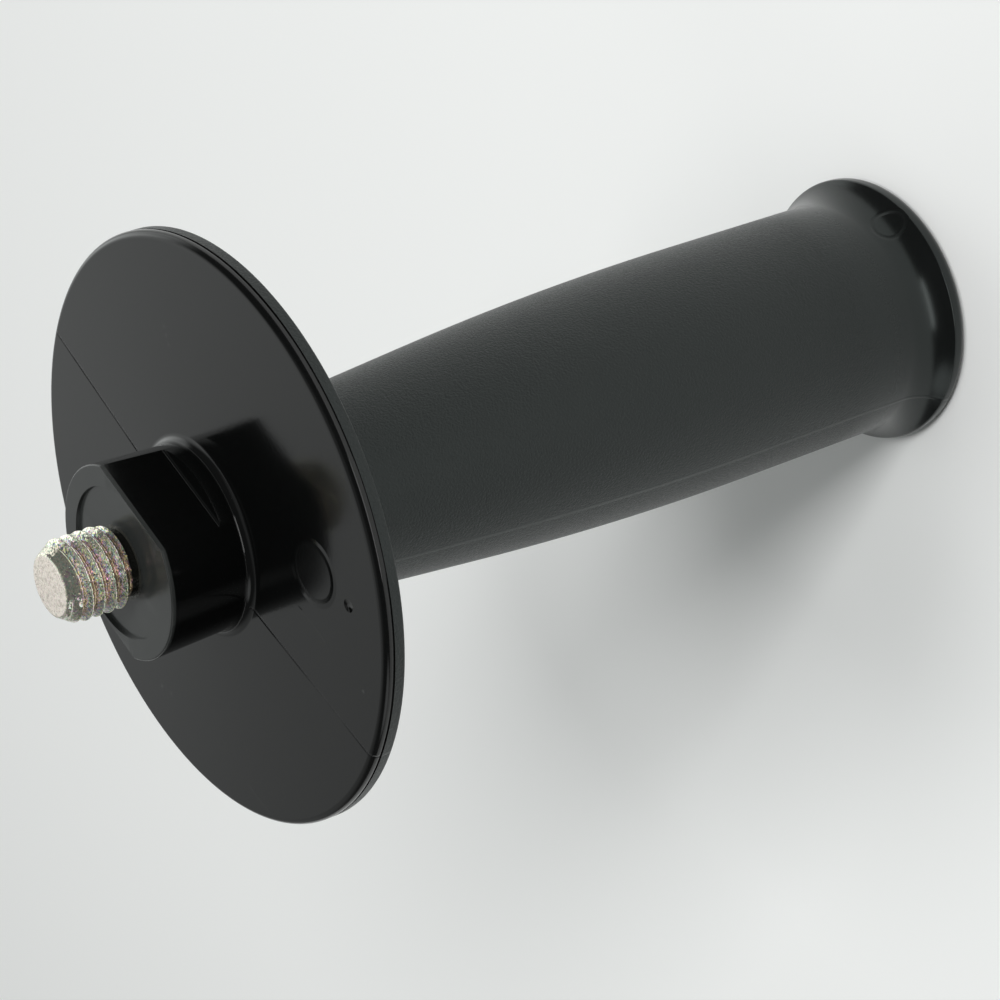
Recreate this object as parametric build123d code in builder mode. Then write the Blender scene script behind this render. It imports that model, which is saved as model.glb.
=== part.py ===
from build123d import *
from math import acos, degrees
import os

os.makedirs("parts", exist_ok=True)

# Side handle for a hand-held power tool, in millimetres.
# It stands on the open end of its grip at Z = 0, with the threaded stud pointing up along +Z.
# The mould parts along the plane Y = 0, so the spanner flats of the boss face -Y and +Y.

# Flared end of the grip
lip_diameter = 36.0            # lip round the open end
lip_back_radius = 1.3          # rounding of the lip at the open end
lip_land = 0.6                 # plain stretch between the two roundings of the lip
lip_front_radius = 0.6         # rounding of the lip on the side of the hand
cove_radius = 8.0              # hollow curve that leads from the grip out to the lip
lip_rise = 2.25                # the lip stands this far out of the grip

# Grip, which is straight at the flared end and bends gently into a taper towards the disc
handle_length = 106.6          # open end to the front of the disc
taper_distance = 55.0          # where the straight part and the taper would meet, behind the disc
belly_radius = 480.0           # the long bend between them
neck_diameter = 22.3           # grip where it meets the disc
neck_fillet = 2.5

# Guard disc
disc_diameter = 72.0
disc_thickness = 2.7           # at the edge
face_rise = 0.9                # the front face is a shallow cone that rises to the boss
back_rise = 0.8                # the back face thickens the disc towards the grip
front_edge_radius = 0.9
back_edge_chamfer = 0.3
edge_groove_land = 0.1         # between the rounded front edge and the groove
edge_groove_width = 0.3        # fine groove round the edge
edge_groove_depth = 0.2

# Boss in front of the disc
seat_recess_diameter = 18.4    # shallow round recess in the front of the boss
seat_recess_depth = 0.45
seat_ring_width = 2.55         # flat ring round the recess, with its rounded edge
boss_height = 11.9             # front of the boss, ahead of the front of the disc
boss_taper = 0.45              # the radius of the boss is smaller by this at its foot
boss_edge_radius = 0.2
boss_root_radius = 0.4
flat_depth = 2.25              # each spanner flat lies this deep in the front of the boss
flat_length = 8.2
flat_root_radius = 0.3

# Hollow of the grip
mouth_wall = 2.75              # plastic round the hollow at its mouth
floor_wall = 2.35              # and at its floor, inside the neck
core_mouth_chamfer = 0.6
core_floor_distance = 14.0     # floor of the hollow, behind the front of the disc
core_floor_chamfer = 1.5

# Threaded stud: a hexagon-head screw that is moulded in by its head
stud_diameter = 10.0
stud_reach = 8.8               # out of the front of the boss
stud_length = 20.0             # under the head
point_step = 1.25              # the radius of the point is smaller by this
point_length = 2.0
shank_step = 0.5               # the plain shank in the plastic is smaller in radius by this
head_across_flats = 16.0
head_height = 6.4
head_chamfer = 0.6

# Heights above the open end
disc_front = handle_length
disc_back = disc_front - disc_thickness
neck_height = disc_back - back_rise
face_top = disc_front + face_rise
boss_front = disc_front + boss_height
recess_floor = boss_front - seat_recess_depth
flat_root = boss_front - flat_length
groove_top = disc_front - front_edge_radius - edge_groove_land
groove_bottom = groove_top - edge_groove_width
taper_height = disc_front - taper_distance
core_floor = disc_front - core_floor_distance
stud_tip = boss_front + stud_reach
head_top = stud_tip - stud_length
head_bottom = head_top - head_height

# Radii
lip_radius = lip_diameter / 2
grip_radius = lip_radius - lip_rise
neck_radius = neck_diameter / 2
disc_radius = disc_diameter / 2
groove_radius = disc_radius - edge_groove_depth
recess_radius = seat_recess_diameter / 2
boss_radius = recess_radius + seat_ring_width
boss_foot_radius = boss_radius - boss_taper
core_mouth_radius = grip_radius - mouth_wall
core_floor_radius = neck_radius - floor_wall
stud_radius = stud_diameter / 2
point_radius = stud_radius - point_step
shank_radius = stud_radius - shank_step

# The cove and the front of the lip are two arcs that turn by the same angle, one each way
lip_turn = degrees(acos(1 - lip_rise / (cove_radius + lip_front_radius)))


def corner(outline, radius, height):
    """The corner of a turned outline that lies nearest to this radius and height."""
    return outline.vertices().sort_by_distance((radius, height))[0]


# Threaded stud: a turned shank with its point, on a hexagon head
with BuildPart() as threaded_stud:
    with BuildSketch(Plane.XY.offset(head_bottom)):
        RegularPolygon(radius=head_across_flats / 2, side_count=6, major_radius=False)
    extrude(amount=head_height)
    chamfer(threaded_stud.faces().sort_by(Axis.Z)[0].edges(), head_chamfer)
    with BuildSketch(Plane.XZ):
        with BuildLine():
            Polyline(
                (0, head_top),
                (shank_radius, head_top),
                (shank_radius, recess_floor),
                (stud_radius, recess_floor),
                (stud_radius, stud_tip - point_length),
                (point_radius, stud_tip),
                (0, stud_tip),
                close=True,
            )
        make_face()
    revolve(axis=Axis.Z)

threaded_stud.part.label = "threaded_stud"
export_step(threaded_stud.part, "parts/threaded_stud.step")

# Moulding: grip, guard disc and boss in one piece, turned round the axis of the stud
with BuildPart() as handle_moulding:
    with BuildSketch(Plane.XZ) as outline:
        with BuildLine():
            lip_back = JernArc(
                start=(lip_radius - lip_back_radius, 0),
                tangent=(1, 0),
                radius=lip_back_radius,
                arc_size=90,
            )
            lip_side = Line(lip_back @ 1, (lip_radius, lip_back_radius + lip_land))
            lip_front = JernArc(lip_side @ 1, (0, 1), lip_front_radius, lip_turn)
            cove = JernArc(lip_front @ 1, lip_front % 1, cove_radius, -lip_turn)
            Polyline(
                cove @ 1,
                (grip_radius, taper_height),
                (neck_radius, neck_height),
                (disc_radius, disc_back),
                (disc_radius, groove_bottom),
                (groove_radius, groove_bottom),
                (groove_radius, groove_top),
                (disc_radius, groove_top),
                (disc_radius, disc_front),
                (boss_foot_radius, face_top),
                (boss_radius, boss_front),
                (recess_radius, boss_front),
                (recess_radius, recess_floor),
                (0, recess_floor),
                (0, core_floor),
                (core_floor_radius, core_floor),
                (core_mouth_radius, 0),
                lip_back @ 0,
            )
        make_face()
        fillet(corner(outline, grip_radius, taper_height), belly_radius)
        fillet(corner(outline, neck_radius, neck_height), neck_fillet)
        fillet(corner(outline, disc_radius, disc_front), front_edge_radius)
        fillet(corner(outline, boss_foot_radius, face_top), boss_root_radius)
        fillet(corner(outline, boss_radius, boss_front), boss_edge_radius)
        chamfer(corner(outline, disc_radius, disc_back), back_edge_chamfer)
        chamfer(corner(outline, core_floor_radius, core_floor), core_floor_chamfer)
        chamfer(corner(outline, core_mouth_radius, 0), core_mouth_chamfer)
    revolve(axis=Axis.Z)

    # Two spanner flats that stop short of the disc
    with BuildSketch(Plane.YZ) as flats:
        with Locations((boss_radius - flat_depth, boss_front)):
            Rectangle(boss_radius, flat_length, align=(Align.MIN, Align.MAX))
        fillet(corner(flats, boss_radius - flat_depth, flat_root), flat_root_radius)
        mirror(about=Plane.YZ)
    extrude(amount=2 * boss_radius, both=True, mode=Mode.SUBTRACT)

    # The plastic closes round the head and the shank of the stud
    add(threaded_stud.part, mode=Mode.SUBTRACT)

handle_moulding.part.label = "handle_moulding"
export_step(handle_moulding.part, "parts/handle_moulding.step")
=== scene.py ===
import bpy
import bmesh
from math import acos, cos, pi, radians, sin, tan
from mathutils import Matrix, Vector


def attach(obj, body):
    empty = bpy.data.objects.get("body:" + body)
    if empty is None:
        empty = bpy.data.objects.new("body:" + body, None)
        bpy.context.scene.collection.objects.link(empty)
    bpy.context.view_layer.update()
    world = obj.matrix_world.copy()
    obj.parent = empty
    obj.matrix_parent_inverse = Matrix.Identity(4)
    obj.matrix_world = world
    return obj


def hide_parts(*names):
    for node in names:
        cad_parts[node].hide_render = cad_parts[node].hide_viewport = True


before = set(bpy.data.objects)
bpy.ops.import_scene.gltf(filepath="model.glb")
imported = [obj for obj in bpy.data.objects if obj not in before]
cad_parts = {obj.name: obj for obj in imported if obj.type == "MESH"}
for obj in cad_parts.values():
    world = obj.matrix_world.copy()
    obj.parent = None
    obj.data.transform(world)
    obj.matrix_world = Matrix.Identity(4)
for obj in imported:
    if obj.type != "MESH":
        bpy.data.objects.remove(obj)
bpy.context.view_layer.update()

# Sizes in millimetres, in the frame of the CAD model, turned into metres by MM
MM = 0.001

# Flared end and grip
LIP_RADIUS = 18.0
LIP_BACK_ROUNDING = 1.3
LIP_LAND = 0.6
LIP_FRONT_ROUNDING = 0.6
COVE_ROUNDING = 8.0
GRIP_RADIUS = 15.75
TAPER_HEIGHT = 51.6
BELLY_ROUNDING = 480.0
NECK_RADIUS = 11.15
NECK_HEIGHT = 103.1
NECK_ROUNDING = 2.5

# Guard disc
DISC_RADIUS = 36.0
DISC_BACK = 103.9
DISC_FRONT = 106.6
DISC_BACK_ROUNDING = 0.3
DISC_FRONT_ROUNDING = 0.9
GROOVE_BOTTOM = 105.3
GROOVE_TOP = 105.6
GROOVE_RADIUS = 35.8

# Boss, and how far the blocks that cut its spanner flats and its bore reach past it
BOSS_RADIUS = 11.75
BOSS_FOOT_RADIUS = 11.3
BOSS_ROOT = 107.5
BOSS_FRONT = 118.5
BOSS_ROOT_ROUNDING = 1.1
BOSS_EDGE_ROUNDING = 0.2
FLAT_PLACE = 9.5
FLAT_ROOT = 110.3
FLAT_ROOT_ROUNDING = 0.3
RECESS_RADIUS = 9.2
RECESS_FLOOR = 118.05
CUT_HALF_LENGTH = 15.0
PAST_FRONT = 2.0
PAST_SIDE = 3.0
PAST_FLOOR = 0.3

# Hollow of the grip
CORE_FLOOR = 92.6
CORE_FLOOR_RADIUS = 8.8
CORE_MOUTH_RADIUS = 13.0
CORE_FLOOR_ROUNDING = 1.5
CORE_MOUTH_ROUNDING = 0.6

# Threaded stud
THREAD_RADIUS = 5.0
THREAD_ROOT_RADIUS = 4.08
THREAD_PITCH = 1.5
THREAD_FLANK = radians(30)
THREAD_CREST_HALF = 0.09
THREAD_CREST_ROUNDING = 0.09
THREAD_ROOT_ROUNDING = 0.2
CREST_HEIGHT = 123.3
CREST_AZIMUTH = radians(-104.7)
TURNS_BELOW_CREST = 5
TURNS = 9
BLANK_RADIUS = THREAD_RADIUS + 0.02
STUD_TIP = 127.3
POINT_RADIUS = 3.75
POINT_LENGTH = 2.0
POINT_ROUNDING = 0.5
POINT_FOOT_ROUNDING = 1.2
RELIEF_RADIUS = 4.05
RELIEF_FOOT = RECESS_FLOOR - 0.5
RELIEF_TOP = 118.9
RELIEF_CHAMFER = 0.6
SHANK_RADIUS = 4.5
HEAD_TOP = 107.3
HEAD_BOTTOM = 100.9
SHANK_FOOT = HEAD_TOP - 1
HEAD_ACROSS_FLATS = 16.0
HEAD_CHAMFER = 0.6

# Steps round the axis, and the bevel and angle of the edges
ROUND_STEPS = 256
THREAD_STEPS = 96
EDGE_BREAK = 0.08
SHARP_ANGLE = radians(32)

# Grained surfaces besides the grip: the back of the disc and its rim
BACK_LOW = 102.0
BACK_HIGH = 105.0
BACK_INNER_RADIUS = 10.0
RIM_INNER_RADIUS = 35.9
RIM_TOP = 105.2

# Heights of the polished face of the disc and of the front of the boss, which gets a painted
# sheen, and one above everything
FACE_LOW = 106.0
FACE_HIGH = 108.0
PAINTED_SHEEN_HEIGHT = 117.9
TOP = 200.0

# Marks of the mould: its parting line, the witness mark and the mark on the flare (x and z)
DISC_LINE_HALF = 0.24
GRIP_LINE_HALF = 0.30
WITNESS_MARK = (-19.2, -13.9)
WITNESS_RADIUS = 3.7
FLARE_MARK = (0.0, 4.4)
FLARE_MARK_RADIUS = 2.05

# A pit and a curved scratch in the face of the disc, and scuffs with their radii
PIT = (-25.6, -15.1)
PIT_RADIUS = 0.8
SCRATCH_CENTRE = (-20.8, 9.0)
SCRATCH_RADIUS = 16.6
SCRATCH_START = -24.8
SCRATCH_END = -18.5
SCUFFS = [
    ((0.4, 28.8), 0.35),
    ((-1.6, 28.0), 0.3),
    ((15.2, -19.9), 0.25),
    ((14.4, -19.2), 0.25),
    ((13.6, -18.5), 0.25),
    ((-31.6, -7.0), 0.3),
]

# Scales of the noise in the surfaces, per metre
WAVE_SCALE = 35.0
CLOUD_SCALE = 60.0
GRIP_LINE_SCALE = 90.0
DISC_LINE_SCALE = 110.0
BLOTCH_SCALE = 500.0
POLISH_SCALE = 1400.0
PORE_SCALE = 1500.0
DENT_SCALE = 2200.0
GRAIN_SCALE = 3400.0
CRYSTAL_SCALE = 5200.0

# Depths of the bumps in millimetres, below zero for hollows
WAVE_DEPTH = 0.035
PORE_DEPTH = 0.004
GRAIN_DEPTH = 0.04
DENT_DEPTH = 0.015
GRIP_LINE_DEPTH = 0.04
DISC_LINE_DEPTH = -0.13
WITNESS_DEPTH = 0.05
FLARE_MARK_DEPTH = -0.07
PIT_DEPTH = -0.4
SCRATCH_DEPTH = 0.02

# Colours
BLACK_DEEP = (0.0030, 0.0033, 0.0033)
BLACK_PALE = (0.0052, 0.0056, 0.0054)
# Grey of the painted sheen on the front of the boss, also the grey of the scuffs' wear
SHEEN_AND_SCUFF_GREY = (0.024, 0.026, 0.025, 1)
END_SILVER = (1.0, 0.90, 0.82, 1)
DULL_OLIVE = (0.26, 0.23, 0.15, 1)
# Dark of the relief under the thread: bare steel, with painted shade of the recess
RELIEF_BARE_AND_SHADE = (0.08, 0.08, 0.07, 1)
FLOOR_GREY = (0.88, 0.89, 0.88, 1)
BACKGROUND = (0.72, 0.73, 0.72, 1)
ROOM_TINT = (0.97, 1.0, 0.99, 1)

# Shades of the plating, from the roots of the thread to its crests: the dark gold-brown at the
# roots is painted shade, and the pale end also gives the point its painted highlight
PLATING_HUES_AND_PAINTED_LIGHT = [
    (0.0, (0.50, 0.40, 0.26, 1)),
    (0.12, (0.86, 0.74, 0.46, 1)),
    (0.22, (0.92, 0.58, 0.70, 1)),
    (0.33, (0.50, 0.46, 0.66, 1)),
    (0.48, (0.46, 0.66, 0.62, 1)),
    (0.60, (0.84, 0.92, 0.40, 1)),
    (0.72, (0.98, 0.66, 0.84, 1)),
    (0.84, (0.70, 0.94, 0.72, 1)),
    (1.0, (1.0, 0.94, 0.78, 1)),
]

# Floor in metres, and the distances in millimetres where it goes over into the background
FLOOR_SIZE = 6.0
FADE_START = 600.0
FADE_END = 1300.0

# Camera: its place in metres, the picture's right and down, and its lens for a 36 mm sensor
CAMERA_PLACE = (-0.175632, -0.253699, 0.264051)
CAMERA_RIGHT = (-0.558938, -0.240514, -0.793560)
CAMERA_DOWN = (-0.688751, 0.667575, 0.282783)
CAMERA_LENS = 106.739

# Dim room with a wide panel that is brighter to one side
ROOM_LEVEL = 0.08
PANEL_WAY = (0.46, 0.71, 0.54)
PANEL_LEVEL = 1.10
PANEL_SLANT = 1.29
SLANT_WAY = (0.435, -0.90, 0.0)
PANEL_LEAST = 0.3
PANEL_MOST = 0.9

# Soft windows: direction, cosines at the edge and at the full middle, brightness
WINDOWS = [
    ((0.97, 0.21, 0.08), 0.86, 0.97, 1.0),
    ((-0.86, 0.42, 0.27), 0.94, 0.99, 0.9),
    ((0.0, 0.0, 1.0), 0.80, 0.98, 0.24),
]

# Soft lamps: name, direction, width and height in metres, power, and whether gloss shows them
LAMP_DISTANCE = 1.6
LAMP_AIM = (0, 0, 0.06)
LAMPS = [
    ("main", (-0.16, -0.72, 0.67), (0.4, 0.8), 16.0, False),
    ("top", (0.08, -0.32, 0.94), (0.5, 0.7), 9.0, False),
    ("strip", (-0.74, -0.67, 0.05), (1.2, 0.2), 2.3, True),
]


# Outlines

def rounded(corners):
    """The points of an outline, from corners (radius, height, rounding, steps)."""
    points = [Vector(corners[0][:2])]
    for before, here, after in zip(corners, corners[1:], corners[2:]):
        place, rounding, steps = Vector(here[:2]), here[2], here[3]
        if not rounding:
            points.append(place)
            continue
        back = (Vector(before[:2]) - place).normalized()
        ahead = (Vector(after[:2]) - place).normalized()
        half = acos(max(-1.0, min(1.0, back.dot(ahead)))) / 2
        start = place + back * (rounding / tan(half))
        end = place + ahead * (rounding / tan(half))
        centre = place + (back + ahead).normalized() * (rounding / sin(half))
        turn = pi - 2 * half
        for step in range(steps + 1):
            share = step / steps
            first = sin((1 - share) * turn) / sin(turn)
            second = sin(share * turn) / sin(turn)
            points.append(centre + (start - centre) * first + (end - centre) * second)
    points.append(Vector(corners[-1][:2]))
    return points


def moulding_outline():
    """The half section of the moulding, from the floor of its hollow round to the recess."""
    turn = acos(1 - (LIP_RADIUS - GRIP_RADIUS) / (COVE_ROUNDING + LIP_FRONT_ROUNDING))
    land_end = LIP_BACK_ROUNDING + LIP_LAND
    cove_end = land_end + (LIP_FRONT_ROUNDING + COVE_ROUNDING) * sin(turn)
    lip_corner = land_end + LIP_FRONT_ROUNDING * tan(turn / 2)
    cove_corner = cove_end - COVE_ROUNDING * tan(turn / 2)
    return rounded([
        (0, CORE_FLOOR, 0, 0),
        (CORE_FLOOR_RADIUS, CORE_FLOOR, CORE_FLOOR_ROUNDING, 5),
        (CORE_MOUTH_RADIUS, 0, CORE_MOUTH_ROUNDING, 4),
        (LIP_RADIUS, 0, LIP_BACK_ROUNDING, 10),
        (LIP_RADIUS, lip_corner, LIP_FRONT_ROUNDING, 8),
        (GRIP_RADIUS, cove_corner, COVE_ROUNDING, 14),
        (GRIP_RADIUS, TAPER_HEIGHT, BELLY_ROUNDING, 16),
        (NECK_RADIUS, NECK_HEIGHT, NECK_ROUNDING, 8),
        (DISC_RADIUS, DISC_BACK, DISC_BACK_ROUNDING, 3),
        (DISC_RADIUS, GROOVE_BOTTOM, 0, 0),
        (GROOVE_RADIUS, GROOVE_BOTTOM, 0, 0),
        (GROOVE_RADIUS, GROOVE_TOP, 0, 0),
        (DISC_RADIUS, GROOVE_TOP, 0, 0),
        (DISC_RADIUS, DISC_FRONT, DISC_FRONT_ROUNDING, 8),
        (BOSS_FOOT_RADIUS, BOSS_ROOT, BOSS_ROOT_ROUNDING, 6),
        (BOSS_RADIUS, BOSS_FRONT, BOSS_EDGE_ROUNDING, 5),
        (RECESS_RADIUS, BOSS_FRONT, 0, 0),
        (RECESS_RADIUS, RECESS_FLOOR, 0, 0),
        (0, RECESS_FLOOR, 0, 0),
    ])


# Meshes

def new_object(name, mesh):
    """A linked object for this mesh."""
    item = bpy.data.objects.new(name, mesh)
    bpy.context.scene.collection.objects.link(item)
    return item


def mesh_object(name, build):
    """An object whose mesh is filled by build, closed and with its faces turned outwards."""
    made = bmesh.new()
    build(made)
    bmesh.ops.recalc_face_normals(made, faces=made.faces)
    mesh = bpy.data.meshes.new(name)
    made.to_mesh(mesh)
    made.free()
    return new_object(name, mesh)


def turned(outline):
    """A builder that turns an outline, which starts and ends on the axis, round Z."""
    def build(made):
        rings = []
        for point in outline[1:-1]:
            ring = []
            for step in range(ROUND_STEPS):
                angle = 2 * pi * step / ROUND_STEPS
                place = Vector((point[0] * cos(angle), point[0] * sin(angle), point[1]))
                ring.append(made.verts.new(place * MM))
            rings.append(ring)
        first = made.verts.new(Vector((0, 0, outline[0][1])) * MM)
        last = made.verts.new(Vector((0, 0, outline[-1][1])) * MM)
        for step in range(ROUND_STEPS):
            after = (step + 1) % ROUND_STEPS
            made.faces.new((first, rings[0][after], rings[0][step]))
            made.faces.new((last, rings[-1][step], rings[-1][after]))
            for low, high in zip(rings, rings[1:]):
                made.faces.new((low[step], low[after], high[after], high[step]))
    return build


def pushed(section, reach):
    """A builder that pushes a section of (y, z) points along X, as far on both sides."""
    def build(made):
        ends = []
        for side in (-reach, reach):
            ends.append([made.verts.new(Vector((side, y, z)) * MM) for y, z in section])
        made.faces.new(ends[0])
        made.faces.new(ends[1])
        for step in range(len(section)):
            after = (step + 1) % len(section)
            made.faces.new((ends[0][step], ends[0][after], ends[1][after], ends[1][step]))
    return build


def shank(top):
    """The outline of the plain shank that runs through the plastic, up to top."""
    return [(0, SHANK_FOOT), (SHANK_RADIUS, SHANK_FOOT), (SHANK_RADIUS, top), (0, top)]


def hexagon_head(made):
    """Builds the hexagon head of the stud, chamfered at its lower side."""
    inner = HEAD_ACROSS_FLATS / 2 - HEAD_CHAMFER
    rows = [(inner, HEAD_BOTTOM), (HEAD_ACROSS_FLATS / 2, HEAD_BOTTOM + HEAD_CHAMFER)]
    rows.append((HEAD_ACROSS_FLATS / 2, HEAD_TOP))
    rings = []
    for half_width, height in rows:
        corner = half_width / cos(pi / 6)
        angles = [pi / 6 + pi / 3 * step for step in range(6)]
        places = [Vector((corner * sin(a), corner * cos(a), height)) * MM for a in angles]
        rings.append([made.verts.new(place) for place in places])
    made.faces.new(rings[0])
    made.faces.new(rings[-1])
    for low, high in zip(rings, rings[1:]):
        for step in range(6):
            after = (step + 1) % 6
            made.faces.new((low[step], low[after], high[after], high[step]))


def blank():
    """The outline that the thread is cut down to: relief at the foot, and rounded point."""
    return rounded([
        (0, RELIEF_FOOT, 0, 0),
        (RELIEF_RADIUS, RELIEF_FOOT, 0, 0),
        (RELIEF_RADIUS, RELIEF_TOP, 0, 0),
        (BLANK_RADIUS, RELIEF_TOP + RELIEF_CHAMFER, 0, 0),
        (BLANK_RADIUS, STUD_TIP - POINT_LENGTH, POINT_FOOT_ROUNDING, 6),
        (POINT_RADIUS, STUD_TIP, POINT_ROUNDING, 6),
        (0, STUD_TIP, 0, 0),
    ])


def flat_section(side):
    """What is cut away for the spanner flat on this side, as (y, z) points."""
    return [(side * y, z) for y, z in rounded([
        (FLAT_PLACE, BOSS_FRONT + PAST_FRONT, 0, 0),
        (FLAT_PLACE, FLAT_ROOT, FLAT_ROOT_ROUNDING, 5),
        (BOSS_RADIUS + PAST_SIDE, FLAT_ROOT, 0, 0),
        (BOSS_RADIUS + PAST_SIDE, BOSS_FRONT + PAST_FRONT, 0, 0),
    ])]


def thread_section():
    """One pitch of the thread as (rise, radius), from the middle of a crest to the next one."""
    depth = THREAD_RADIUS - THREAD_ROOT_RADIUS
    flank_end = THREAD_CREST_HALF + depth * tan(THREAD_FLANK)
    half = rounded([
        (0, THREAD_RADIUS, 0, 0),
        (THREAD_CREST_HALF, THREAD_RADIUS, THREAD_CREST_ROUNDING, 3),
        (flank_end, THREAD_ROOT_RADIUS, THREAD_ROOT_ROUNDING, 5),
        (THREAD_PITCH / 2, THREAD_ROOT_RADIUS, 0, 0),
    ])
    other = [(THREAD_PITCH - rise, radius) for rise, radius in reversed(half[1:-1])]
    return [tuple(point) for point in half] + other


def threaded_rod(made):
    """Builds a helical rod that reaches past both ends of the threaded part of the stud."""
    section = thread_section()
    rows = len(section)
    base = CREST_HEIGHT - THREAD_PITCH * (CREST_AZIMUTH / (2 * pi) + TURNS_BELOW_CREST)
    count = THREAD_STEPS * TURNS
    verts = {}

    def vert(step, row):
        if row == rows:
            return vert(step + THREAD_STEPS, 0)
        if (step, row) not in verts:
            rise, radius = section[row]
            angle = 2 * pi * step / THREAD_STEPS
            height = base + THREAD_PITCH * step / THREAD_STEPS + rise
            place = Vector((radius * cos(angle), radius * sin(angle), height))
            verts[(step, row)] = made.verts.new(place * MM)
        return verts[(step, row)]

    for step in range(count):
        for row in range(rows):
            corners = (vert(step, row), vert(step + 1, row), vert(step + 1, row + 1))
            made.faces.new(corners + (vert(step, row + 1),))
    low_loop = [vert(step, 0) for step in range(THREAD_STEPS + 1)]
    low_loop += [vert(0, row) for row in range(rows - 1, 0, -1)]
    high_loop = [vert(count + step, 0) for step in range(THREAD_STEPS + 1)]
    high_loop += [vert(count, row) for row in range(rows - 1, 0, -1)]
    ends = ((low_loop, base - THREAD_PITCH), (high_loop, base + THREAD_PITCH * (TURNS + 2)))
    for loop, height in ends:
        middle = made.verts.new(Vector((0, 0, height)) * MM)
        for step in range(len(loop)):
            made.faces.new((loop[step], loop[(step + 1) % len(loop)], middle))


def floor_plane(made):
    """Builds the plane that the handle stands on."""
    bmesh.ops.create_grid(made, x_segments=1, y_segments=1, size=FLOOR_SIZE)


def is_grained(face):
    """Whether a face of the moulding lies on the grip, on the back of the disc or on its rim."""
    centre = face.center / MM
    away = Vector(centre[:2])
    on_grip = away.dot(Vector(face.normal[:2])) > 0 and centre.z < NECK_HEIGHT
    on_back = face.normal.z < -0.2 and BACK_LOW < centre.z < BACK_HIGH
    on_rim = away.length > RIM_INNER_RADIUS and centre.z < RIM_TOP
    return on_grip or on_rim or (on_back and away.length > BACK_INNER_RADIUS)


# Cutting and joining

def combine(item, other, operation):
    """Cuts, joins or intersects item with other, and removes other."""
    step = item.modifiers.new("combine", "BOOLEAN")
    step.operation = operation
    step.solver = "EXACT"
    step.object = other
    settle(item)
    bpy.data.objects.remove(other)


def settle(item):
    """Applies the modifiers of item to its mesh."""
    bpy.context.view_layer.update()
    graph = bpy.context.evaluated_depsgraph_get()
    mesh = bpy.data.meshes.new_from_object(item.evaluated_get(graph))
    item.modifiers.clear()
    item.data = mesh


def soften(item, width):
    """Breaks the sharp edges of item by a small bevel, then shades it smooth."""
    bevel = item.modifiers.new("edges", "BEVEL")
    bevel.width = width * MM
    bevel.segments = 2
    bevel.limit_method = "ANGLE"
    bevel.angle_limit = SHARP_ANGLE
    bevel.use_clamp_overlap = True
    settle(item)
    shade(item)


def shade(item):
    """Smooth shading that keeps sharp edges sharp and large flat faces flat."""
    item.data.shade_smooth()
    item.data.set_sharp_from_angle(angle=SHARP_ANGLE)
    weighted = item.modifiers.new("normals", "WEIGHTED_NORMAL")
    weighted.keep_sharp = True
    weighted.weight = 100
    settle(item)


# Materials

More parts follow.
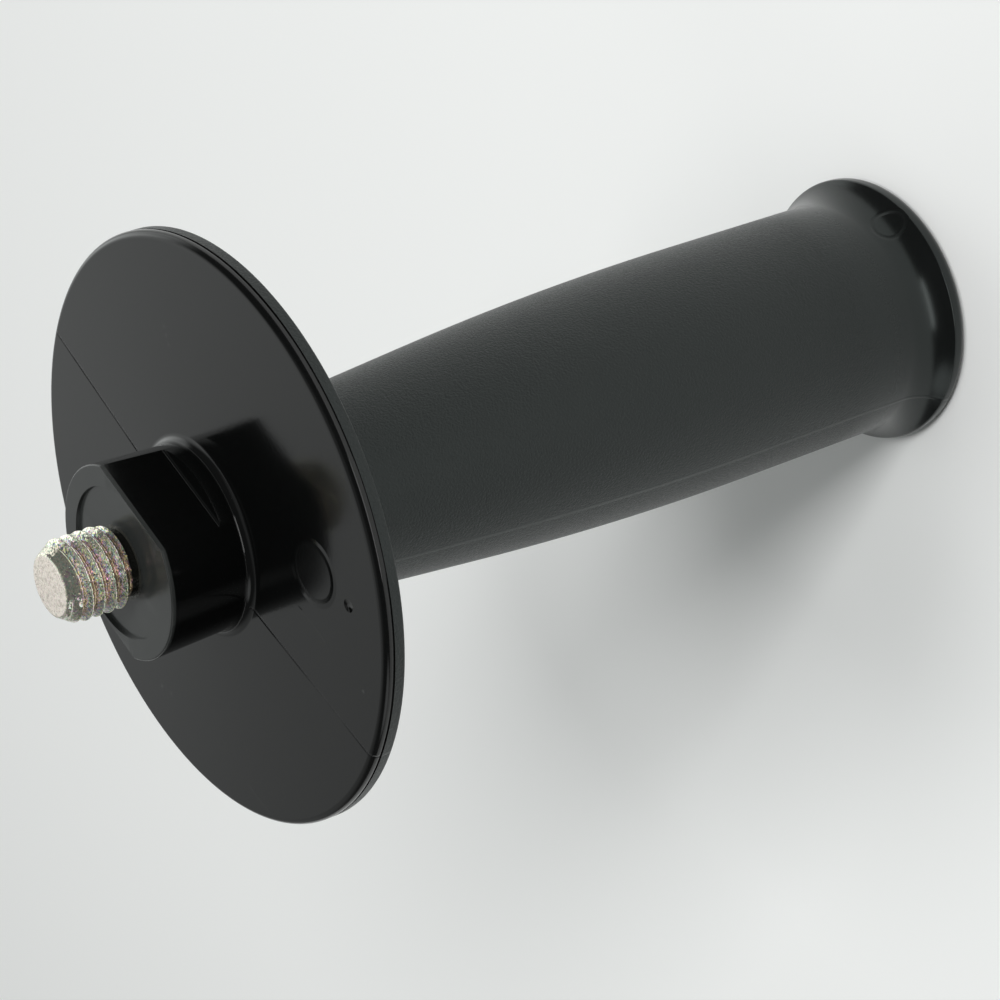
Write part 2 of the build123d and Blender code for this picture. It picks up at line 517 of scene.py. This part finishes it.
class Nodes:
    """The node tree of a material or a world, and short ways to add and link nodes."""

    def __init__(self, owner):
        owner.use_nodes = True
        self.owner = owner
        self.tree = owner.node_tree
        self.shader = self.tree.nodes.get("Principled BSDF")

    def add(self, kind, **settings):
        """A new node of this kind."""
        node = self.tree.nodes.new(kind)
        for key, value in settings.items():
            setattr(node, key, value)
        return node

    def link(self, output, socket):
        """Links an output to a socket."""
        self.tree.links.new(output, socket)

    def math(self, operation, first, second=0.0, clamp=False):
        """One step of arithmetic on numbers or outputs."""
        node = self.add("ShaderNodeMath", operation=operation, use_clamp=clamp)
        for socket, value in zip(node.inputs, (first, second)):
            if isinstance(value, (int, float)):
                socket.default_value = value
            else:
                self.link(value, socket)
        return node.outputs[0]

    def plus(self, first, second):
        """The sum of two values."""
        return self.math("ADD", first, second)

    def minus(self, first, second):
        """The first value less the second."""
        return self.math("SUBTRACT", first, second)

    def times(self, first, second, clamp=False):
        """The product of two values."""
        return self.math("MULTIPLY", first, second, clamp)

    def larger(self, first, second):
        """The larger of two values."""
        return self.math("MAXIMUM", first, second)

    def vector(self, operation, first, second=None):
        """One step of arithmetic on vectors, the second one a plain vector or an output."""
        node = self.add("ShaderNodeVectorMath", operation=operation)
        self.link(first, node.inputs[0])
        if isinstance(second, tuple):
            node.inputs[1].default_value = second
        elif second is not None:
            self.link(second, node.inputs["Scale" if operation == "SCALE" else 1])
        return node.outputs["Value" if operation == "DOT_PRODUCT" else "Vector"]

    def position(self):
        """The place, then its x, y, z and distance from the axis in millimetres."""
        place = self.add("ShaderNodeNewGeometry").outputs["Position"]
        split = self.add("ShaderNodeSeparateXYZ")
        self.link(place, split.inputs[0])
        x, y, z = (self.times(split.outputs[i], 1 / MM) for i in range(3))
        return place, x, y, z, self.far_from(x, y, (0.0, 0.0))

    def far_from(self, first, second, centre):
        """Distance in millimetres from centre, across the coordinates first and second."""
        across = self.math("POWER", self.minus(first, centre[0]), 2.0)
        along = self.math("POWER", self.minus(second, centre[1]), 2.0)
        return self.math("SQRT", self.plus(across, along))

    def band(self, value, low, high, blur):
        """1 between low and high, 0 outside them, with soft ends."""
        rise = self.times(self.minus(value, low), 1 / blur, clamp=True)
        fall = self.times(self.minus(high, value), 1 / blur, clamp=True)
        return self.times(rise, fall)

    def ring(self, far, radius, width):
        """1 on a soft ring of this radius."""
        return self.band(far, radius - width / 2, radius + width / 2, width / 2)

    def spot(self, far, radius, blur):
        """1 within this distance, with a soft edge."""
        return self.band(far, -1.0 - blur, radius, blur)

    def noise(self, place, scale, detail, roughness):
        """Noise from 0 to 1."""
        node = self.add("ShaderNodeTexNoise")
        node.inputs["Scale"].default_value = scale
        node.inputs["Detail"].default_value = detail
        node.inputs["Roughness"].default_value = roughness
        self.link(place, node.inputs["Vector"])
        return node.outputs["Fac"]

    def between(self, value, low, high, start=0.0, end=1.0, shape="LINEAR"):
        """Maps start to end onto low to high."""
        node = self.add("ShaderNodeMapRange", interpolation_type=shape)
        node.inputs["From Min"].default_value = start
        node.inputs["From Max"].default_value = end
        node.inputs["To Min"].default_value = low
        node.inputs["To Max"].default_value = high
        self.link(value, node.inputs["Value"])
        return node.outputs["Result"]

    def blend(self, share, first, second):
        """Goes from the first colour to the second, a plain one, as share goes from 0 to 1."""
        node = self.add("ShaderNodeMix", data_type="RGBA")
        self.link(share, node.inputs["Factor"])
        self.link(first, node.inputs["A"])
        node.inputs["B"].default_value = second
        return node.outputs["Result"]

    def ramp(self, value, shades):
        """The colour at value, from (place, colour) pairs."""
        node = self.add("ShaderNodeValToRGB")
        stops = node.color_ramp.elements
        stops[0].position, stops[0].color = shades[0]
        stops[1].position, stops[1].color = shades[-1]
        for place, colour in shades[1:-1]:
            stops.new(place).color = colour
        self.link(value, node.inputs["Fac"])
        return node.outputs["Color"]

    def show(self, share, first, second, output):
        """Sends two shaders to the output, from the first to the second as share goes to 1."""
        node = self.add("ShaderNodeMixShader")
        self.link(share, node.inputs[0])
        self.link(first, node.inputs[1])
        self.link(second, node.inputs[2])
        self.link(node.outputs[0], self.tree.nodes[output].inputs["Surface"])

    def bump(self, height, depth, before=None):
        """A bump of this depth in millimetres, over the bump before it."""
        node = self.add("ShaderNodeBump")
        node.inputs["Strength"].default_value = 1.0
        node.inputs["Distance"].default_value = depth * MM
        self.link(height, node.inputs["Height"])
        if before is not None:
            self.link(before, node.inputs["Normal"])
        return node.outputs["Normal"]


def black(nodes, cloud, fine, strength, greyer=None):
    """Black plastic, a little paler in clouds and where the grain stands out."""
    deep = tuple(part * strength for part in BLACK_DEEP) + (1,)
    pale = tuple(part * strength for part in BLACK_PALE) + (1,)
    mix = nodes.plus(nodes.times(cloud, 0.5), nodes.times(fine, 0.5))
    colour = nodes.ramp(mix, [(0.25, deep), (0.75, pale)])
    if greyer is not None:
        colour = nodes.blend(greyer, colour, SHEEN_AND_SCUFF_GREY)
    nodes.link(colour, nodes.shader.inputs["Base Color"])


def glossy_plastic():
    """The polished front of the disc and the boss, with its parting line and mould marks."""
    nodes = Nodes(bpy.data.materials.new("plastic_gloss"))
    place, x, y, z, _ = nodes.position()
    cloud = nodes.noise(place, CLOUD_SCALE, 3.0, 0.6)
    fine = nodes.noise(place, PORE_SCALE, 3.0, 0.6)
    on_disc = nodes.band(z, FACE_LOW, FACE_HIGH, 0.2)

    # The front of the boss is painted greyer as a painted sheen, and a few small scuffs on the
    # disc are greyer as real wear
    painted_sheen_and_scuffs = nodes.band(z, PAINTED_SHEEN_HEIGHT, TOP, 0.1)
    for centre, radius in SCUFFS:
        scuff = nodes.spot(nodes.far_from(x, y, centre), radius, 0.2)
        painted_sheen_and_scuffs = nodes.larger(painted_sheen_and_scuffs, nodes.times(scuff, on_disc))
    black(nodes, cloud, fine, 0.5, nodes.times(painted_sheen_and_scuffs, nodes.between(cloud, 0.5, 1.4)))

    # Both are more matt, as the inside of the mould's round witness mark is
    witness = nodes.far_from(x, y, WITNESS_MARK)
    inside = nodes.times(nodes.spot(witness, WITNESS_RADIUS - 0.2, 0.4), on_disc)
    matt = nodes.times(nodes.larger(painted_sheen_and_scuffs, inside), 0.09)
    rough = nodes.plus(nodes.between(cloud, 0.08, 0.15), matt)
    nodes.shader.inputs["IOR"].default_value = 1.46

    # Faint waves, as a moulded face has, and fine pits
    normal = nodes.bump(nodes.noise(place, WAVE_SCALE, 1.0, 0.4), WAVE_DEPTH)
    normal = nodes.bump(fine, PORE_DEPTH, normal)

    # Parting line over the disc, uneven along its length
    uneven = nodes.noise(place, DISC_LINE_SCALE, 2.0, 0.6)
    uneven = nodes.between(uneven, 0.55, 1.2, 0.3, 0.7)
    line = nodes.band(y, -DISC_LINE_HALF, DISC_LINE_HALF, DISC_LINE_HALF)
    line = nodes.times(nodes.times(line, uneven), nodes.band(z, 100.0, 107.8, 0.2))
    normal = nodes.bump(line, DISC_LINE_DEPTH, normal)
    rough = nodes.plus(rough, nodes.times(line, 0.15))
    nodes.link(rough, nodes.shader.inputs["Roughness"])

    # Witness mark, a small pit and a curved scratch in the face of the disc
    mark = nodes.ring(witness, WITNESS_RADIUS, 1.1)
    normal = nodes.bump(nodes.times(mark, on_disc), WITNESS_DEPTH, normal)
    pit = nodes.spot(nodes.far_from(x, y, PIT), PIT_RADIUS, 0.6)
    normal = nodes.bump(nodes.times(pit, on_disc), PIT_DEPTH, normal)
    scratch = nodes.ring(nodes.far_from(x, y, SCRATCH_CENTRE), SCRATCH_RADIUS, 0.4)
    scratch = nodes.times(scratch, nodes.band(x, SCRATCH_START, SCRATCH_END, 0.8))
    normal = nodes.bump(nodes.times(scratch, on_disc), SCRATCH_DEPTH, normal)
    nodes.link(normal, nodes.shader.inputs["Normal"])
    return nodes.owner


def grained_plastic():
    """The spark-eroded grain of the grip, with its flattened parting line."""
    nodes = Nodes(bpy.data.materials.new("plastic_grain"))
    place, x, y, z, _ = nodes.position()
    cloud = nodes.noise(place, CLOUD_SCALE, 3.0, 0.6)
    fine = nodes.noise(place, GRAIN_SCALE, 3.0, 0.65)
    black(nodes, cloud, fine, 1.0)

    # The grain thins out in the flare, which is smoother, and on the parting line
    line = nodes.band(y, -GRIP_LINE_HALF, GRIP_LINE_HALF, 0.16)
    level = nodes.times(nodes.band(z, 7.0, TOP, 9.0), nodes.minus(1.0, line))
    speck = nodes.between(fine, 0.0, 1.0, 0.32, 0.68)
    rough = nodes.plus(nodes.times(level, 0.11), 0.21)
    rough = nodes.plus(rough, nodes.times(speck, nodes.times(level, 0.16)))
    nodes.shader.inputs["IOR"].default_value = 1.48
    nodes.shader.inputs["Specular Tint"].default_value = (0.90, 1.0, 0.98, 1)
    normal = nodes.bump(nodes.times(speck, level), GRAIN_DEPTH)
    uneven = nodes.between(nodes.noise(place, GRIP_LINE_SCALE, 2.0, 0.6), 0.3, 1.2)
    normal = nodes.bump(nodes.times(line, uneven), GRIP_LINE_DEPTH, normal)

    # Mould mark on the slope of the flare, on one side only
    mark = nodes.ring(nodes.far_from(x, z, FLARE_MARK), FLARE_MARK_RADIUS, 0.8)
    mark = nodes.times(mark, nodes.band(y, -30.0, -5.0, 0.5))
    mark = nodes.times(mark, nodes.band(z, 0.5, 9.0, 0.3))
    normal = nodes.bump(mark, FLARE_MARK_DEPTH, normal)
    nodes.link(normal, nodes.shader.inputs["Normal"])
    rough = nodes.plus(rough, nodes.times(mark, 0.14))
    nodes.link(rough, nodes.shader.inputs["Roughness"])
    return nodes.owner


def plated_steel():
    """Zinc plating with the rainbow shades of its passivation, with painted shade in the
    thread's roots and on the relief under it, and a painted highlight on its point.
    """
    nodes = Nodes(bpy.data.materials.new("zinc_plating"))
    place, x, y, z, reach = nodes.position()
    shader = nodes.shader
    facing = nodes.add("ShaderNodeSeparateXYZ")
    nodes.link(nodes.add("ShaderNodeNewGeometry").outputs["Normal"], facing.inputs[0])
    end = nodes.band(facing.outputs[2], 0.93, 1.3, 0.06)
    nose = nodes.band(z, STUD_TIP - POINT_LENGTH, TOP, 0.5)
    nodes.link(nodes.between(end, 0.94, 0.60), shader.inputs["Metallic"])
    crystals = nodes.add("ShaderNodeTexVoronoi")
    crystals.inputs["Scale"].default_value = CRYSTAL_SCALE
    nodes.link(place, crystals.inputs["Vector"])
    chance = nodes.add("ShaderNodeSeparateColor")
    nodes.link(crystals.outputs["Color"], chance.inputs[0])
    blotch = nodes.noise(place, BLOTCH_SCALE, 3.0, 0.7)

    # Shades from the root of the thread to its crest, in blotches and with a fine sparkle; the
    # roots are painted darker as painted shade, the point is painted paler as a painted
    # highlight, and the shades shift a little from one side of the stud to the other
    depth = nodes.between(reach, 0.0, 0.85, THREAD_ROOT_RADIUS, THREAD_RADIUS)
    hue = nodes.plus(depth, nodes.times(nodes.minus(0.92, depth), nose))
    hue = nodes.plus(hue, nodes.times(nodes.minus(x, y), 0.014))
    spread = nodes.plus(nodes.times(blotch, 0.5), nodes.times(chance.outputs[0], 0.5))
    colour = nodes.ramp(nodes.plus(hue, nodes.minus(spread, 0.48)), PLATING_HUES_AND_PAINTED_LIGHT)

    # The end face is a pale warm silver, and the relief under the thread is dark: partly bare
    # unplated steel, partly painted shade of the recess
    colour = nodes.blend(nodes.times(end, 0.8), colour, END_SILVER)
    dull = nodes.times(nodes.math("POWER", chance.outputs[1], 3.0), 0.45)
    colour = nodes.blend(dull, colour, DULL_OLIVE)
    colour = nodes.blend(nodes.band(z, 100.0, 119.2, 0.3), colour, RELIEF_BARE_AND_SHADE)
    nodes.link(colour, shader.inputs["Base Color"])
    rough = nodes.between(nodes.noise(place, POLISH_SCALE, 3.0, 0.6), 0.08, 0.20)
    nodes.link(nodes.plus(rough, nodes.times(end, 0.14)), shader.inputs["Roughness"])

    # Each crystal of the plating leans its own way
    lean = nodes.vector("SUBTRACT", crystals.outputs["Color"], (0.5, 0.5, 0.5))
    lean = nodes.vector("SCALE", lean, nodes.between(end, 0.34, 0.20))
    dents = nodes.bump(nodes.noise(place, DENT_SCALE, 2.0, 0.6), DENT_DEPTH)
    normal = nodes.vector("NORMALIZE", nodes.vector("ADD", dents, lean))
    nodes.link(normal, shader.inputs["Normal"])
    return nodes.owner


def floor_paint():
    """Matt pale grey, which a camera or a mirror sees go over into the background far away."""
    nodes = Nodes(bpy.data.materials.new("floor_paint"))
    nodes.shader.inputs["Base Color"].default_value = FLOOR_GREY
    nodes.shader.inputs["Roughness"].default_value = 0.9
    nodes.shader.inputs["Specular IOR Level"].default_value = 0.1
    reach = nodes.position()[-1]
    path = nodes.add("ShaderNodeLightPath").outputs
    seen = nodes.larger(path["Is Camera Ray"], path["Is Glossy Ray"])
    far = nodes.between(reach, 0.0, 1.0, FADE_START, FADE_END)
    paper = nodes.add("ShaderNodeEmission")
    paper.inputs["Color"].default_value = BACKGROUND
    share = nodes.times(far, seen)
    nodes.show(share, nodes.shader.outputs[0], paper.outputs[0], "Material Output")
    return nodes.owner


# Light

def soft_lamp(name, direction, size, power, mirrored):
    """A soft lamp, size wide and high, that looks at the middle of the handle."""
    data = bpy.data.lights.new(name, "AREA")
    data.shape = "RECTANGLE"
    data.size, data.size_y = size
    data.energy = power
    lamp = bpy.data.objects.new(name, data)
    bpy.context.scene.collection.objects.link(lamp)
    aim = Vector(direction).normalized()
    lamp.location = Vector(LAMP_AIM) + aim * LAMP_DISTANCE
    lamp.rotation_euler = aim.to_track_quat("Z", "Y").to_euler()
    lamp.visible_glossy = mirrored


def studio_world():
    """A dim room with one wide soft panel and windows, and plain pale grey behind the floor."""
    nodes = Nodes(bpy.data.worlds.new("world"))
    way = nodes.add("ShaderNodeTexCoord").outputs["Generated"]

    def towards(direction, edge, middle):
        along = nodes.vector("DOT_PRODUCT", way, direction)
        return nodes.between(along, 0.0, 1.0, edge, middle, "SMOOTHSTEP")

    slant = nodes.times(nodes.vector("DOT_PRODUCT", way, SLANT_WAY), PANEL_SLANT)
    glow = nodes.larger(nodes.plus(slant, PANEL_LEVEL), PANEL_LEAST)
    glow = nodes.math("MINIMUM", glow, PANEL_MOST)
    lift = nodes.times(towards(PANEL_WAY, 0.60, 0.92), nodes.minus(glow, ROOM_LEVEL))
    level = nodes.plus(lift, ROOM_LEVEL)
    for direction, edge, middle, bright in WINDOWS:
        level = nodes.plus(level, nodes.times(towards(direction, edge, middle), bright))
    room = nodes.tree.nodes["Background"]
    room.inputs["Color"].default_value = ROOM_TINT
    nodes.link(level, room.inputs["Strength"])
    plain = nodes.add("ShaderNodeBackground")
    plain.inputs["Color"].default_value = BACKGROUND
    seen = nodes.add("ShaderNodeLightPath").outputs["Is Camera Ray"]
    nodes.show(seen, room.outputs[0], plain.outputs[0], "World Output")
    bpy.context.scene.world = nodes.owner


# Moulding

handle = mesh_object("handle_plastic", turned(moulding_outline()))
for side in (1, -1):
    cutter = mesh_object("cutter", pushed(flat_section(side), CUT_HALF_LENGTH))
    combine(handle, cutter, "DIFFERENCE")

bore = shank(RECESS_FLOOR + PAST_FLOOR)
combine(handle, mesh_object("cutter", turned(bore)), "DIFFERENCE")
combine(handle, mesh_object("cutter", hexagon_head), "DIFFERENCE")
soften(handle, EDGE_BREAK)

handle.data.materials.append(glossy_plastic())
handle.data.materials.append(grained_plastic())
for face in handle.data.polygons:
    face.material_index = int(is_grained(face))
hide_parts("handle_moulding")
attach(handle, "root")

# Stud

stud = mesh_object("stud_steel", threaded_rod)
combine(stud, mesh_object("cutter", turned(blank())), "INTERSECT")
combine(stud, mesh_object("cutter", turned(shank(RECESS_FLOOR))), "UNION")
combine(stud, mesh_object("cutter", hexagon_head), "UNION")
shade(stud)
stud.data.materials.append(plated_steel())
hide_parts("threaded_stud")
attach(stud, "root")

# Floor

floor = mesh_object("floor", floor_plane)
floor.data.materials.append(floor_paint())

# Camera, at the viewing angle of the photograph

camera_data = bpy.data.cameras.new("camera")
camera_data.sensor_width = 36.0
camera_data.lens = CAMERA_LENS
camera_data.clip_start = 0.01
camera = bpy.data.objects.new("camera", camera_data)
bpy.context.scene.collection.objects.link(camera)
right = Vector(CAMERA_RIGHT)
down = Vector(CAMERA_DOWN)
ahead = right.cross(down).normalized()
stand = Matrix((right, -down, -ahead)).transposed().to_4x4()
stand.translation = Vector(CAMERA_PLACE)
camera.matrix_world = stand
bpy.context.scene.camera = camera

# Lamps and surroundings

for lamp in LAMPS:
    soft_lamp(*lamp)
studio_world()

bpy.context.scene.view_settings.view_transform = "Standard"
